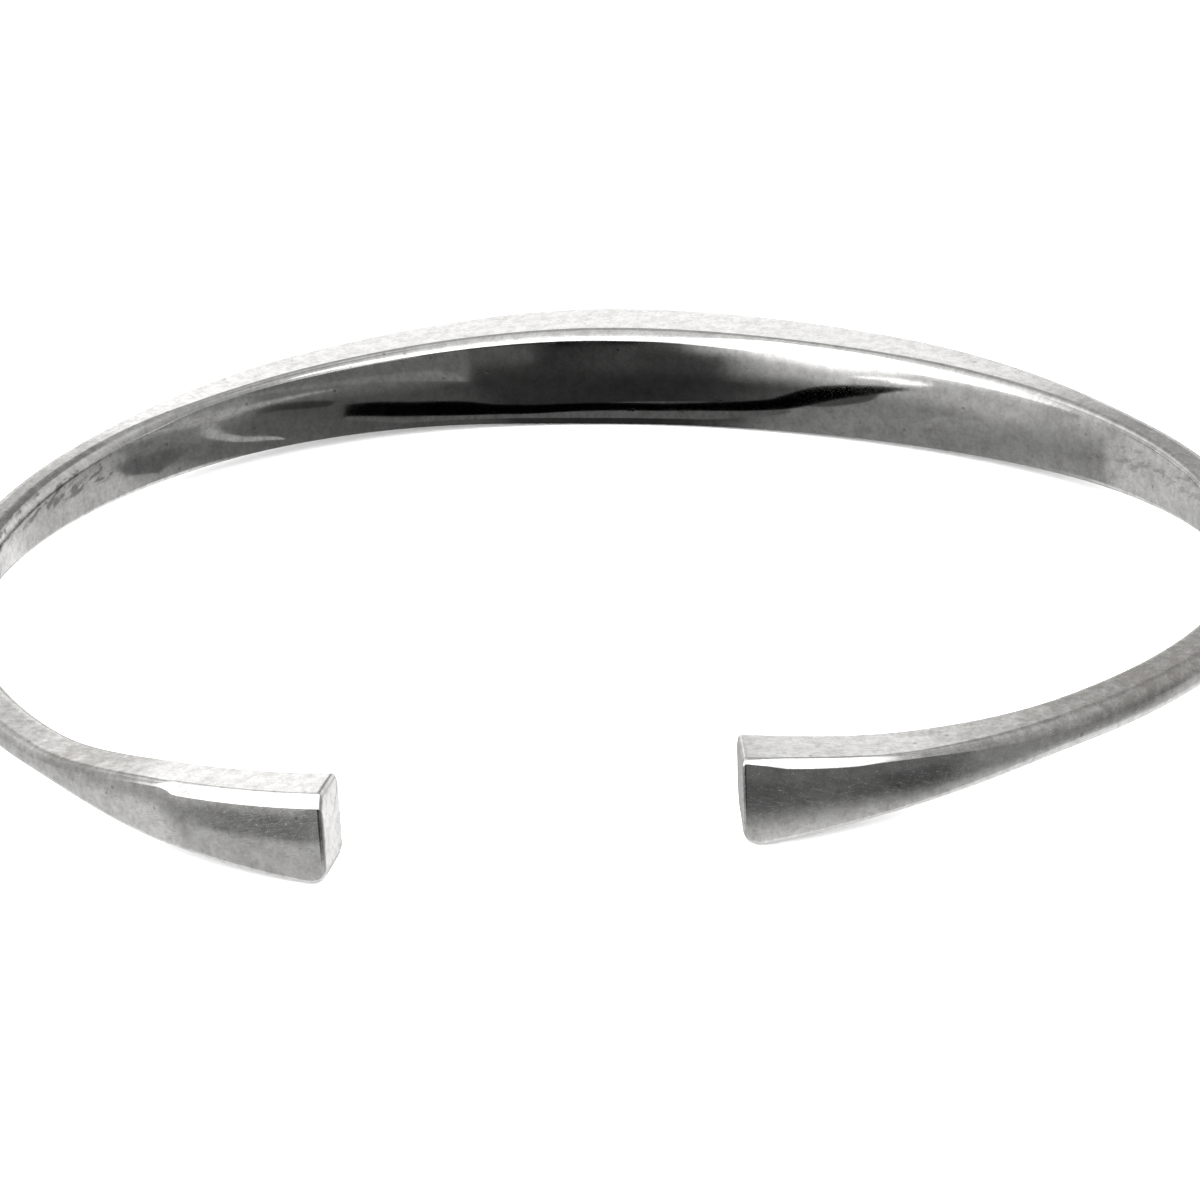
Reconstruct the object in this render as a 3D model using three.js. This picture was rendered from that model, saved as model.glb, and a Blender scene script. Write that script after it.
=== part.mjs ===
// An open cuff bangle in the shape of a torque: one solid bar of polished silver, thick at the
// back, slim down both arms and flared at its two square-cut ends. It has no hinge and no clasp.
//
// Units are millimetres, +Z is up. The bangle lies flat, as it rests by itself: the wrist passes
// through along Z, the thick back is towards +Y and the gap between the ends faces -Y. The origin
// is on the surface that it rests on, under the middle of its outline.

import * as THREE from 'three';

// Driving dimensions.
const INNER_LENGTH = 154.5; // along the bar's inner face, from end to end
const REST_WEAR = 0.05;     // depth to which the underside is rubbed flat where it rests
const FACE_CROWN = 0.03;    // swell of the inner and outer faces, as a share of the bar's height
const OUTER_EDGE = 1.25;    // radius of the outer long edges, as a multiple of the inner ones'
const ARM_SAG = 0.20;       // how far each arm, halfway to the front, hangs below a straight line

// How finely the bar is divided.
const STATION_COUNT = 97;
const EDGE_STEPS = 4;

// The bar's sections, from the left end (at -1) round the back (at 0) to the right end (at 1).
//   bend       how fast the bar turns there, in degrees for each mm of its inner face
//   height     along Z
//   thickness  from the inner face to the outer face
//   edge       radius of the two inner long edges
//   crease     tilt in degrees of the rounding where it meets the flat top and bottom
const SECTIONS = [
  { at: -1.0, bend: 2.8, height: 4.40, thickness: 2.60, edge: 0.45, crease: 4 },
  { at: -0.9, bend: 2.2, height: 2.95, thickness: 2.35, edge: 0.45, crease: 4 },
  { at: -0.8, bend: 2.2, height: 1.25, thickness: 2.20, edge: 0.45, crease: 4 },
  { at: -0.6, bend: 2.4, height: 1.80, thickness: 2.00, edge: 0.45, crease: 4 },
  { at: -0.4, bend: 2.4, height: 3.20, thickness: 2.00, edge: 0.50, crease: 6 },
  { at: -0.2, bend: 2.2, height: 4.35, thickness: 3.40, edge: 0.60, crease: 10 },
  { at: 0.0, bend: 1.5, height: 5.60, thickness: 4.50, edge: 0.65, crease: 12 },
  { at: 0.2, bend: 1.2, height: 5.10, thickness: 3.80, edge: 0.65, crease: 12 },
  { at: 0.4, bend: 2.8, height: 3.70, thickness: 2.00, edge: 0.60, crease: 8 },
  { at: 0.6, bend: 3.4, height: 1.65, thickness: 2.10, edge: 0.45, crease: 4 },
  { at: 0.8, bend: 1.8, height: 1.65, thickness: 2.20, edge: 0.45, crease: 4 },
  { at: 0.9, bend: 1.9, height: 2.50, thickness: 2.50, edge: 0.45, crease: 4 },
  { at: 1.0, bend: 2.8, height: 4.35, thickness: 2.80, edge: 0.45, crease: 4 },
];

const silver = new THREE.MeshStandardMaterial({ color: 0xd9d9d6, metalness: 1.0, roughness: 0.12 });

// Slope of a column at one row: level at a peak, a dip or an end, and otherwise the harmonic mean
// of the slopes on its two sides, so that the curve through the rows never overshoots them.
function slopeAt(column, row) {
  const rise = (i) => (SECTIONS[i + 1][column] - SECTIONS[i][column]) / (SECTIONS[i + 1].at - SECTIONS[i].at);
  if (row === 0) return rise(0);
  if (row === SECTIONS.length - 1) return rise(row - 1);
  const before = rise(row - 1);
  const after = rise(row);
  return before * after > 0 ? (2 * before * after) / (before + after) : 0;
}

// Value of a column anywhere along the bar, by cubic Hermite curves through the table's rows.
function valueAt(column, at) {
  const next = SECTIONS.findIndex((section) => section.at > at);
  const row = (next < 0 ? SECTIONS.length - 1 : next) - 1;
  const from = SECTIONS[row];
  const to = SECTIONS[row + 1];
  const span = to.at - from.at;
  const u = (at - from.at) / span;
  const u2 = u * u;
  const u3 = u2 * u;
  return (2 * u3 - 3 * u2 + 1) * from[column] + (u3 - 2 * u2 + u) * span * slopeAt(column, row)
    + (3 * u2 - 2 * u3) * to[column] + (u3 - u2) * span * slopeAt(column, row + 1);
}

// The inner face's line seen from above: from the back's middle, one arm is walked in short steps
// that turn by the bend. side is 1 for the right arm and -1 for the left.
function walkArm(side) {
  const steps = (STATION_COUNT - 1) / 2;
  const step = INNER_LENGTH / 2 / steps;
  const arm = [{ at: 0, x: 0, y: 0, turn: 0 }];
  for (let i = 1; i <= steps; i += 1) {
    const previous = arm[i - 1];
    const at = (side * i) / steps;
    const bend = (valueAt('bend', previous.at) + valueAt('bend', at)) / 2;
    const turn = previous.turn + side * THREE.MathUtils.degToRad(bend * step);
    const middle = (previous.turn + turn) / 2;
    arm.push({
      at,
      x: previous.x + side * step * Math.cos(middle),
      y: previous.y - side * step * Math.sin(middle),
      turn,
    });
  }
  return arm;
}

// Points of a long edge's rounding, from the side face up to the flat top, which it meets at the
// crease. inward is the distance from the side face, below the distance under the top.
function roundedEdge(radius, crease) {
  const topTilt = THREE.MathUtils.degToRad(crease);
  const points = [];
  for (let i = 0; i <= EDGE_STEPS; i += 1) {
    const tilt = THREE.MathUtils.lerp(Math.PI / 2, topTilt, i / EDGE_STEPS);
    points.push({
      inward: radius * (1 - Math.sin(tilt)),
      below: radius * (Math.cos(topTilt) - Math.cos(tilt)),
    });
  }
  return points;
}

// The section's outline as Vector2(distance outward from the inner face, height from its middle).
// It starts at the middle of the inner face and goes up, across the top and back underneath. The
// underside is the top's mirror image.
function sectionOutline(at) {
  const height = valueAt('height', at);
  const thickness = valueAt('thickness', at);
  const radius = valueAt('edge', at);
  const crown = FACE_CROWN * height;
  const outerFace = thickness - crown;
  const innerEdge = roundedEdge(radius, valueAt('crease', at));
  const outerEdge = roundedEdge(radius * OUTER_EDGE, 0).reverse();
  const top = [
    ...innerEdge.map(({ inward, below }) => new THREE.Vector2(crown + inward, height / 2 - below)),
    ...outerEdge.map(({ inward, below }) => new THREE.Vector2(outerFace - inward, height / 2 - below)),
  ];
  const underside = top.map((point) => new THREE.Vector2(point.x, -point.y)).reverse();
  return [new THREE.Vector2(0, 0), ...top, new THREE.Vector2(thickness, 0), ...underside];
}

// Height of the bar's middle above the surface. The back and both ends touch it, so along the
// arm's reach to the front the middle falls from half the back's height to half the end's, and
// sags a little on the way.
function middleHeight(station, arm) {
  const end = arm[arm.length - 1];
  const share = station.y / end.y;
  const straight = THREE.MathUtils.lerp(valueAt('height', 0) / 2, valueAt('height', end.at) / 2, share);
  return straight - 4 * ARM_SAG * share * (1 - share);
}

// One ring of points: the outline stood across the bar at a station.
function ringAt(station, arm) {
  const outward = new THREE.Vector2(Math.sin(station.turn), Math.cos(station.turn));
  const level = middleHeight(station, arm) - REST_WEAR;
  return sectionOutline(station.at).map((point) => new THREE.Vector3(
    station.x + outward.x * point.x,
    station.y + outward.y * point.x,
    Math.max(level + point.y, 0),
  ));
}

// A closed skin over a row of rings, with a flat cap on each end.
function skinOver(rings) {
  const size = rings[0].length;
  const sumOf = (ring) => ring.reduce((sum, point) => sum.add(point), new THREE.Vector3());
  const centres = [rings[0], rings[rings.length - 1]].map((ring) => sumOf(ring).divideScalar(size));
  const points = [...rings.flat(), ...centres];
  const lastRing = (rings.length - 1) * size;
  const faces = [];
  for (let k = 0; k < size; k += 1) {
    const next = (k + 1) % size;
    for (let ring = 0; ring < lastRing; ring += size) {
      faces.push(ring + k, ring + size + k, ring + next);
      faces.push(ring + next, ring + size + k, ring + size + next);
    }
    faces.push(lastRing + size, k, next);
    faces.push(lastRing + size + 1, lastRing + next, lastRing + k);
  }
  const geometry = new THREE.BufferGeometry().setFromPoints(points);
  geometry.setIndex(faces);
  geometry.computeVertexNormals();
  return geometry;
}

// The whole bar as one solid, moved so that the origin is under the middle of its outline.
function buildBar() {
  const left = walkArm(-1);
  const right = walkArm(1);
  const rings = [
    ...left.slice(1).reverse().map((station) => ringAt(station, left)),
    ...right.map((station) => ringAt(station, right)),
  ];
  const geometry = skinOver(rings);
  geometry.computeBoundingBox();
  const middle = geometry.boundingBox.getCenter(new THREE.Vector3());
  geometry.translate(-middle.x, -middle.y, 0);
  const bar = new THREE.Mesh(geometry, silver);
  bar.name = 'cuff_bar';
  return bar;
}

const bangle = new THREE.Group();
bangle.add(buildBar());

export default bangle;
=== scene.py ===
"""An open cuff bangle of polished silver, laid on its side on a pale studio floor.

The bar is measured in millimetres, as its maker would, and turned into metres when its mesh is made.
Its middle is at 0, its left end at -1 and its right end at 1.
"""

import logging
import math
from dataclasses import dataclass, field
from enum import Enum
from typing import Any

import bpy
import numpy as np
from mathutils import Matrix, Vector


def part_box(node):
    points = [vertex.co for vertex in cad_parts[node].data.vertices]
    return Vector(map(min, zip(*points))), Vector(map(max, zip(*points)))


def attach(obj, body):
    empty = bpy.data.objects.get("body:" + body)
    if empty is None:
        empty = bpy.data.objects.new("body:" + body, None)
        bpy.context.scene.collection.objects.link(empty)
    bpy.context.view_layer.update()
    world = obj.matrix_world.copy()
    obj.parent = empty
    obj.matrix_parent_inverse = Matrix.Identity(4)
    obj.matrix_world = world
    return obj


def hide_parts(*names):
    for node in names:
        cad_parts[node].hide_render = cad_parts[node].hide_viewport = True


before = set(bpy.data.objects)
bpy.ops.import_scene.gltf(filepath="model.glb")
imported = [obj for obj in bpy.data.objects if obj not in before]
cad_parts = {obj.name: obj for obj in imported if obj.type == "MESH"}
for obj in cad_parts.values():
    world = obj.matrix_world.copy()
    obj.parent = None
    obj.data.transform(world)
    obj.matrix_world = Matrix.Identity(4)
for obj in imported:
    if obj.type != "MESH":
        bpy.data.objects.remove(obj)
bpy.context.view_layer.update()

LOG = logging.getLogger("bangle")
MM = 0.001
Number = float | int


class Edge(Enum):
    """The four long edges of the bar."""

    INNER_TOP = "inner top"
    OUTER_TOP = "outer top"
    INNER_LOW = "inner low"
    OUTER_LOW = "outer low"


# ---------------------------------------------------------------- shader maths


class Wire:
    """A shader socket that carries one value and can be written into a sum."""

    def __init__(self, bench: "Bench", socket: bpy.types.NodeSocket) -> None:
        """Keeps the bench that makes further nodes, and the socket."""
        self.bench = bench
        self.socket = socket

    def __add__(self, other: "Wire | Number") -> "Wire":
        """self + other."""
        return self.bench.math("ADD", self, other)

    __radd__ = __add__

    def __mul__(self, other: "Wire | Number") -> "Wire":
        """self * other."""
        return self.bench.math("MULTIPLY", self, other)

    __rmul__ = __mul__

    def __sub__(self, other: "Wire | Number") -> "Wire":
        """self - other."""
        return self.bench.math("SUBTRACT", self, other)

    def __rsub__(self, other: "Wire | Number") -> "Wire":
        """other - self."""
        return self.bench.math("SUBTRACT", other, self)

    def __truediv__(self, other: "Wire | Number") -> "Wire":
        """self / other."""
        return self.bench.math("DIVIDE", self, other)

    def __neg__(self) -> "Wire":
        """-self."""
        return self.bench.math("MULTIPLY", self, -1.0)

    def __abs__(self) -> "Wire":
        """The value without its sign."""
        return self.bench.math("ABSOLUTE", self)


class Bench:
    """Builds the nodes of one tree."""

    def __init__(self, tree: bpy.types.NodeTree) -> None:
        """Empties the tree.

        Args:
            tree: the node tree of a material or of the world.
        """
        self.tree = tree
        tree.nodes.clear()

    def node(
        self,
        kind: str,
        settings: dict[str, Any] | None = None,
        sockets: dict[str | int, Any] | None = None,
    ) -> bpy.types.Node:
        """Adds one node.

        Args:
            kind: the node's type.
            settings: its properties, set before anything else; "stops" are a ramp's (place, value) pairs.
            sockets: a value or a Wire for each input, by name or number.

        Returns:
            The new node.
        """
        made = self.tree.nodes.new(kind)
        for name, value in (settings or {}).items():
            if name == "stops":
                self._place_stops(made.color_ramp, value)
            else:
                setattr(made, name, value)
        for key, value in (sockets or {}).items():
            if isinstance(value, Wire):
                self.tree.links.new(value.socket, made.inputs[key])
            else:
                made.inputs[key].default_value = value
        return made

    @staticmethod
    def _place_stops(ramp: bpy.types.ColorRamp, stops: list[tuple[float, float]]) -> None:
        """Gives a ramp its grey stops.

        Args:
            ramp: the ramp of a new Color Ramp node.
            stops: places from 0 to 1 in order, each with its value.
        """
        while len(ramp.elements) > 1:
            ramp.elements.remove(ramp.elements[-1])
        ramp.elements[0].position = stops[0][0]
        for place, _ in stops[1:]:
            ramp.elements.new(place)
        for element, (_, value) in zip(ramp.elements, stops):
            element.color = (value, value, value, 1.0)

    def wire(self, kind: str, output: str | int = 0, **parts: Any) -> Wire:
        """One output of a new node; parts are node()'s settings and sockets."""
        return Wire(self, self.node(kind, **parts).outputs[output])

    def math(self, operation: str, *values: "Wire | Number") -> Wire:
        """A Math node on up to three values."""
        return self.wire("ShaderNodeMath", settings={"operation": operation}, sockets=dict(enumerate(values)))

    def smooth(self, value: Wire, low: float, high: float) -> Wire:
        """A soft step.

        Args:
            value: what is measured.
            low: where the step is 0; it may be the higher of the two.
            high: where the step is 1.

        Returns:
            A value from 0 to 1.
        """
        sockets = {"Value": value, "From Min": low, "From Max": high}
        if low > high:
            sockets.update({"From Min": high, "From Max": low, "To Min": 1.0, "To Max": 0.0})
        return self.wire("ShaderNodeMapRange", settings={"interpolation_type": "SMOOTHSTEP"}, sockets=sockets)

    def window(self, value: Wire, low: float, high: float, soft: float) -> Wire:
        """1 between low and high, falling to 0 over soft outside each."""
        return self.smooth(value, low - soft, low) * self.smooth(value, high + soft, high)

    def ramp(self, value: Wire, low: float, high: float, stops: list[tuple[float, float]]) -> Wire:
        """A grey ramp over a value's own range.

        Args:
            value: what is measured.
            low: lowest place on the ramp.
            high: highest place on the ramp.
            stops: places in the value's own unit, each with the grey there.

        Returns:
            The grey.
        """
        share = (value - low) / (high - low)
        placed = [((place - low) / (high - low), grey) for place, grey in stops]
        return self.wire("ShaderNodeValToRGB", settings={"stops": placed}, sockets={"Fac": share})

    def blend(self, factor: "Wire | float", start: Any, end: Any) -> Wire:
        """A colour between two colours, or a colour and a grey wire.

        Args:
            factor: 0 gives start and 1 gives end.
            start: an RGBA tuple or a wire.
            end: an RGBA tuple or a wire.

        Returns:
            The mixed colour.
        """
        settings = {"data_type": "RGBA", "clamp_factor": True}
        return self.wire("ShaderNodeMix", 2, settings=settings, sockets={0: factor, 6: start, 7: end})

    def vector(self, operation: str, *values: Any) -> Wire:
        """A Vector Math node on wires or 3-tuples."""
        settings = {"operation": operation}
        return self.wire("ShaderNodeVectorMath", settings=settings, sockets=dict(enumerate(values)))

    def split(self, vector: Wire) -> tuple[Wire, Wire, Wire]:
        """The three parts of a vector."""
        made = self.node("ShaderNodeSeparateXYZ", sockets={0: vector})
        return tuple(Wire(self, output) for output in made.outputs)

    def join(self, *parts: "Wire | float") -> Wire:
        """A vector from three values."""
        return self.wire("ShaderNodeCombineXYZ", sockets=dict(enumerate(parts)))

    def attribute(self, name: str, output: str) -> Wire:
        """A value kept in the mesh under a name."""
        return self.wire("ShaderNodeAttribute", output, settings={"attribute_name": name})

    def millimetres(self) -> Wire:
        """The place in the object's own frame, in millimetres."""
        place = self.wire("ShaderNodeTexCoord", "Object")
        return self.vector("MULTIPLY", place, (1 / MM, 1 / MM, 1 / MM))

    def noise(self, place: Wire, scale: float, detail: float = 2.0, rough: float = 0.5) -> Wire:
        """Noise around a half.

        Args:
            place: coordinate, in millimetres.
            scale: features for each millimetre.
            detail: octaves added.
            rough: strength of each octave.

        Returns:
            A value from 0 to 1.
        """
        sockets = {"Vector": place, "Scale": scale, "Detail": detail, "Roughness": rough}
        return self.wire("ShaderNodeTexNoise", sockets=sockets)


def new_finish(name: str) -> tuple[bpy.types.Material, Bench]:
    """A new material with the bench for its nodes.

    Args:
        name: the material's name.

    Returns:
        The material and its bench.
    """
    made = bpy.data.materials.new(name)
    made.use_nodes = True
    return made, Bench(made.node_tree)


def placed(name: str, data: bpy.types.Mesh | bpy.types.Camera) -> bpy.types.Object:
    """A new object in the scene.

    Args:
        name: the object's name.
        data: its mesh or camera.

    Returns:
        The object.
    """
    made = bpy.data.objects.new(name, data)
    bpy.context.scene.collection.objects.link(made)
    return made


# ---------------------------------------------------------------- the bar's sizes


@dataclass(frozen=True)
class Track:
    """A size that changes along the bar, as places from -1 to 1 with the value there."""

    stops: tuple[tuple[float, float], ...]

    def at(self, where: np.ndarray) -> np.ndarray:
        """The size anywhere along the bar, on a curve that never overshoots its stops.

        Args:
            where: places along the bar.

        Returns:
            The size at each place.
        """
        places, values = np.array(self.stops, float).T
        rises = np.diff(values) / np.diff(places)
        slopes = np.concatenate([rises[:1], np.zeros(len(values) - 2), rises[-1:]])
        for row, (before, after) in enumerate(zip(rises[:-1], rises[1:]), start=1):
            if before * after > 0:
                slopes[row] = 2 * before * after / (before + after)
        row = np.clip(np.searchsorted(places, where, side="right") - 1, 0, len(places) - 2)
        span = places[row + 1] - places[row]
        share = np.clip((where - places[row]) / span, 0, 1)
        square, cube = share**2, share**3
        start = (2 * cube - 3 * square + 1) * values[row] + (cube - 2 * square + share) * span * slopes[row]
        end = (3 * square - 2 * cube) * values[row + 1] + (cube - square) * span * slopes[row + 1]
        return start + end


@dataclass(frozen=True)
class Facet:
    """A narrow flat that the file left along a stretch of a long edge, tilted so many degrees."""

    edge: Edge
    width: Track
    tilt: float


@dataclass(frozen=True)
class Outline:
    """Section outlines of a row of stations, one row of points each.

    out and up are the points, from the inner face outwards and from the bar's middle upwards. lean_out
    and lean_up are the surface's normal there, and wear says how much the spot is rubbed.
    """

    out: np.ndarray
    up: np.ndarray
    lean_out: np.ndarray
    lean_up: np.ndarray
    wear: np.ndarray

    def parts(self) -> tuple[np.ndarray, ...]:
        """The five arrays."""
        return self.out, self.up, self.lean_out, self.lean_up, self.wear

    def upside_down(self) -> "Outline":
        """The outline's mirror image below the bar's middle."""
        return Outline(self.out, -self.up, self.lean_out, -self.lean_up, self.wear)

    def on_far_side(self, thickness: np.ndarray) -> "Outline":
        """The outline's mirror image on the outer face."""
        return Outline(thickness[:, None] - self.out, self.up, -self.lean_out, self.lean_up, self.wear)

    def backwards(self) -> "Outline":
        """The same points, walked the other way."""
        return Outline(*(part[:, ::-1] for part in self.parts()))

    def without_first(self) -> "Outline":
        """The points after the first, which the part before them already has."""
        return Outline(*(part[:, 1:] for part in self.parts()))

    def then(self, *others: "Outline") -> "Outline":
        """These points with others joined on."""
        rows = zip(self.parts(), *(other.parts() for other in others))
        return Outline(*(np.concatenate(row, axis=1) for row in rows))


@dataclass(frozen=True)
class Drawn:
    """Noise drawn out one way over the bar's skin.

    Each of the noise's two directions is a sum of the place along the bar and the place round it, with
    these weights. sheet tells one noise from another, and scale is its features for each unit.
    """

    first: tuple[float, float]
    second: tuple[float, float]
    sheet: float
    scale: float

    def noise(self, bench: Bench, along: Wire, around: Wire, **kind: float) -> Wire:
        """The noise.

        Args:
            bench: the material's bench.
            along: place along the bar.
            around: place round the section.
            kind: the noise's detail and rough, if they differ from the usual.

        Returns:
            A value from 0 to 1.
        """
        ways = (along * weights[0] + around * weights[1] for weights in (self.first, self.second))
        return bench.noise(bench.join(*ways, self.sheet), self.scale, **kind)


@dataclass(frozen=True)
class Recipe:
    """One input of a finish, as a sum of layers: where it starts, and each layer's name and share."""

    start: float
    shares: tuple[tuple[str, float], ...]

    def mixed(self, layers: dict[str, Wire]) -> Wire:
        """The sum.

        Args:
            layers: every layer by name.

        Returns:
            The value for the input.
        """
        total: Wire | float = self.start
        for name, share in self.shares:
            total = total + share * layers[name]
        return total


@dataclass(frozen=True)
class Silver:
    """Polished silver that has been worn: bright metal, uneven tarnished patches and fine scratches, with
    painted shade on the faces that look up and along the top edges.

    Lengths are in millimetres, and scales in features for each millimetre. A pair of numbers is where a layer
    begins and where it is full, except that the band and the painted edge shade lie between theirs. The band
    is where round the section the scrapes are, and painted_edge_shade how far up the surface faces, from 0 to
    1, where a dark line of painted shade, a stand-in for a dark reflection, runs beside them. strokes_grow is
    measured from the back's middle.
    """

    name: str = "worn_polished_silver"
    bright: tuple[float, float, float, float] = (0.985, 0.98, 0.97, 1.0)
    # the dark colour that real tarnish and wear and the painted shade all mix towards
    tarnish_and_shade: tuple[float, float, float, float] = (0.40, 0.385, 0.36, 1.0)
    # real wear and random tone, plus painted shade on the upward faces and along the top edges
    stain_and_shade: Recipe = Recipe(0.16, (
        ("dull", 0.10), ("pits", 0.4), ("strokes", 0.25), ("grain", 0.8), ("blotch", 1.1),
        ("painted_top_shade", 0.85), ("painted_edge_shade", 0.7), ("scuff_and_shade", 0.10), ("scrapes", 0.95),
    ))
    roughness: Recipe = Recipe(0.06, (
        ("satin", 0.12), ("dull", 0.03), ("strokes", 0.22), ("wear", 0.04), ("grain", 0.06),
    ))
    relief: Recipe = Recipe(0.0, (("grain", 0.12), ("strokes", -0.4), ("pits", -2.0), ("scrapes", -0.5)))
    relief_strength: float = 0.20
    relief_depth: float = 0.004
    grain_scale: float = 4.5
    blotch_scale: float = 1.7
    cloud_scale: float = 0.35
    dull_cloud: tuple[float, float] = (0.50, 0.72)
    pit_scale: float = 0.8
    pit_edge: tuple[float, float] = (0.10, 0.05)
    lengthwise: Drawn = Drawn((0.35, 0.0), (0.0, 9.0), 0.0, 1.0)
    lengthwise_edge: tuple[float, float] = (0.016, 0.0)
    lengthwise_depth: float = 0.7
    crossing: Drawn = Drawn((1.2, 2.0), (-2.4, 4.0), 5.0, 0.8)
    crossing_edge: tuple[float, float] = (0.007, 0.0)
    strokes_grow: tuple[float, float] = (18.0, 34.0)
    strokes_at_back: float = 0.15
    scrape: Drawn = Drawn((0.9, 0.6), (-1.1, 3.4), 9.0, 0.8)
    scrape_edge: tuple[float, float] = (0.50, 0.62)
    scrape_band: tuple[float, float] = (2.4, 3.3)
    scrape_fade: float = 0.35
    # painted shade: how far up the faces look where a dark line is painted along the top edges, standing in
    # for a dark reflection
    painted_edge_shade: tuple[float, float] = (0.84, 0.97)
    painted_edge_shade_fade: float = 0.05
    # painted shade: faces that look up are darkened, sides much less
    painted_top_shade_upright: tuple[float, float] = (-0.05, 0.30)

    def material(self) -> bpy.types.Material:
        """Builds the finish.

        Returns:
            The material, which reads the bar's place and wear.
        """
        made, bench = new_finish(self.name)
        layers = self.layers(bench)
        # the colour carries real wear and painted shade alike
        colour = bench.blend(self.stain_and_shade.mixed(layers), self.bright, self.tarnish_and_shade)
        height = self.relief.mixed(layers)
        sockets = {"Strength": self.relief_strength, "Distance": self.relief_depth * MM, "Height": height}
        bump = bench.wire("ShaderNodeBump", sockets=sockets)
        rough = self.roughness.mixed(layers)
        sockets = {"Base Color": colour, "Metallic": 1.0, "Roughness": rough, "Normal": bump}
        shader = bench.wire("ShaderNodeBsdfPrincipled", sockets=sockets)
        bench.node("ShaderNodeOutputMaterial", sockets={"Surface": shader})
        return made

    def layers(self, bench: Bench) -> dict[str, Wire]:
        """Every layer of wear, and the layers of painted shade.

        Args:
            bench: the material's bench.

        Returns:
            The layers by name.
        """
        along, around, _ = bench.split(bench.attribute("place", "Vector"))
        satin, painted_top_shade, scuff_and_shade = bench.split(bench.attribute("state", "Vector"))
        facing = bench.split(bench.wire("ShaderNodeNewGeometry", "Normal"))[2]
        solid = bench.millimetres()
        banded = scuff_and_shade * bench.window(around, *self.scrape_band, self.scrape_fade)
        return {
            "wear": bench.attribute("wear", "Fac"),
            "grain": bench.noise(solid, self.grain_scale, detail=2.0, rough=0.6) - 0.5,
            "blotch": bench.noise(solid, self.blotch_scale, detail=3.0, rough=0.6) - 0.5,
            "dull": bench.smooth(bench.noise(solid, self.cloud_scale, detail=3.0), *self.dull_cloud),
            "pits": self.pits(bench, solid),
            "strokes": self.strokes(bench, along, around),
            "satin": satin,
            # painted shade: the arms' upward faces are darkened, standing in for dark reflections
            "painted_top_shade": painted_top_shade * bench.smooth(facing, *self.painted_top_shade_upright),
            # painted shade: a dark line on the nearly upward faces of the scuffed stretches, standing in for
            # a dark reflection
            "painted_edge_shade": scuff_and_shade * bench.window(facing, *self.painted_edge_shade, self.painted_edge_shade_fade),
            # darkens the scrape band a little in the scuffed stretches
            "scuff_and_shade": banded,
            "scrapes": self.scrapes(bench, along, around) * banded,
        }

    def strokes(self, bench: Bench, along: Wire, around: Wire) -> Wire:
        """Fine scratches, fewer at the back: most run along the bar, and a few cross it.

        Args:
            bench: the material's bench.
            along: place along the bar.
            around: place round the section.

        Returns:
            1 in a scratch and 0 beside it.
        """
        fine = abs(self.lengthwise.noise(bench, along, around) - 0.5)
        fine = self.lengthwise_depth * bench.smooth(fine, *self.lengthwise_edge)
        stray = abs(self.crossing.noise(bench, along, around) - 0.5)
        strokes = bench.math("MAXIMUM", fine, bench.smooth(stray, *self.crossing_edge))
        grown = bench.smooth(abs(along), *self.strokes_grow)
        return strokes * (self.strokes_at_back + (1 - self.strokes_at_back) * grown)

    def scrapes(self, bench: Bench, along: Wire, around: Wire) -> Wire:
        """Short broad scrapes at a slant, as 1 in a scrape and 0 beside it."""
        return bench.smooth(self.scrape.noise(bench, along, around, detail=3.0, rough=0.6), *self.scrape_edge)

    def pits(self, bench: Bench, solid: Wire) -> Wire:
        """Scattered small pits, as 1 in a pit and 0 beside it."""
        sockets = {"Vector": solid, "Scale": self.pit_scale}
        distance = bench.wire("ShaderNodeTexVoronoi", "Distance", sockets=sockets)
        return bench.smooth(distance, *self.pit_edge)


@dataclass(frozen=True)
class Forging:
    """The slow waves that hammering and filing leave in a hand-made bar."""

    depth: float = 0.012
    shortest: float = 7.0
    longest: float = 22.0
    waves: int = 14
    seed: int = 5

    def dip(self, points: np.ndarray) -> tuple[np.ndarray, np.ndarray]:
        """How far the surface lies below its true shape.

        Args:
            points: places in millimetres, with x, y and z last.

        Returns:
            The dip at each place, and its slope along x, y and z.
        """
        chance = np.random.default_rng(self.seed)
        ways = chance.normal(size=(self.waves, 3))
        ways /= np.linalg.norm(ways, axis=1, keepdims=True)
        ways *= 2 * np.pi / chance.uniform(self.shortest, self.longest, (self.waves, 1))
        starts = chance.uniform(0, 2 * np.pi, self.waves)
        strength = self.depth / self.waves**0.5
        dip = np.full(points.shape[:-1], 2 * self.depth)
        slope = np.zeros(points.shape)
        for way, start in zip(ways, starts):
            phase = points @ way + start
            dip += strength * np.cos(phase)
            slope -= strength * np.sin(phase)[..., None] * way
        return dip, slope


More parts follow.
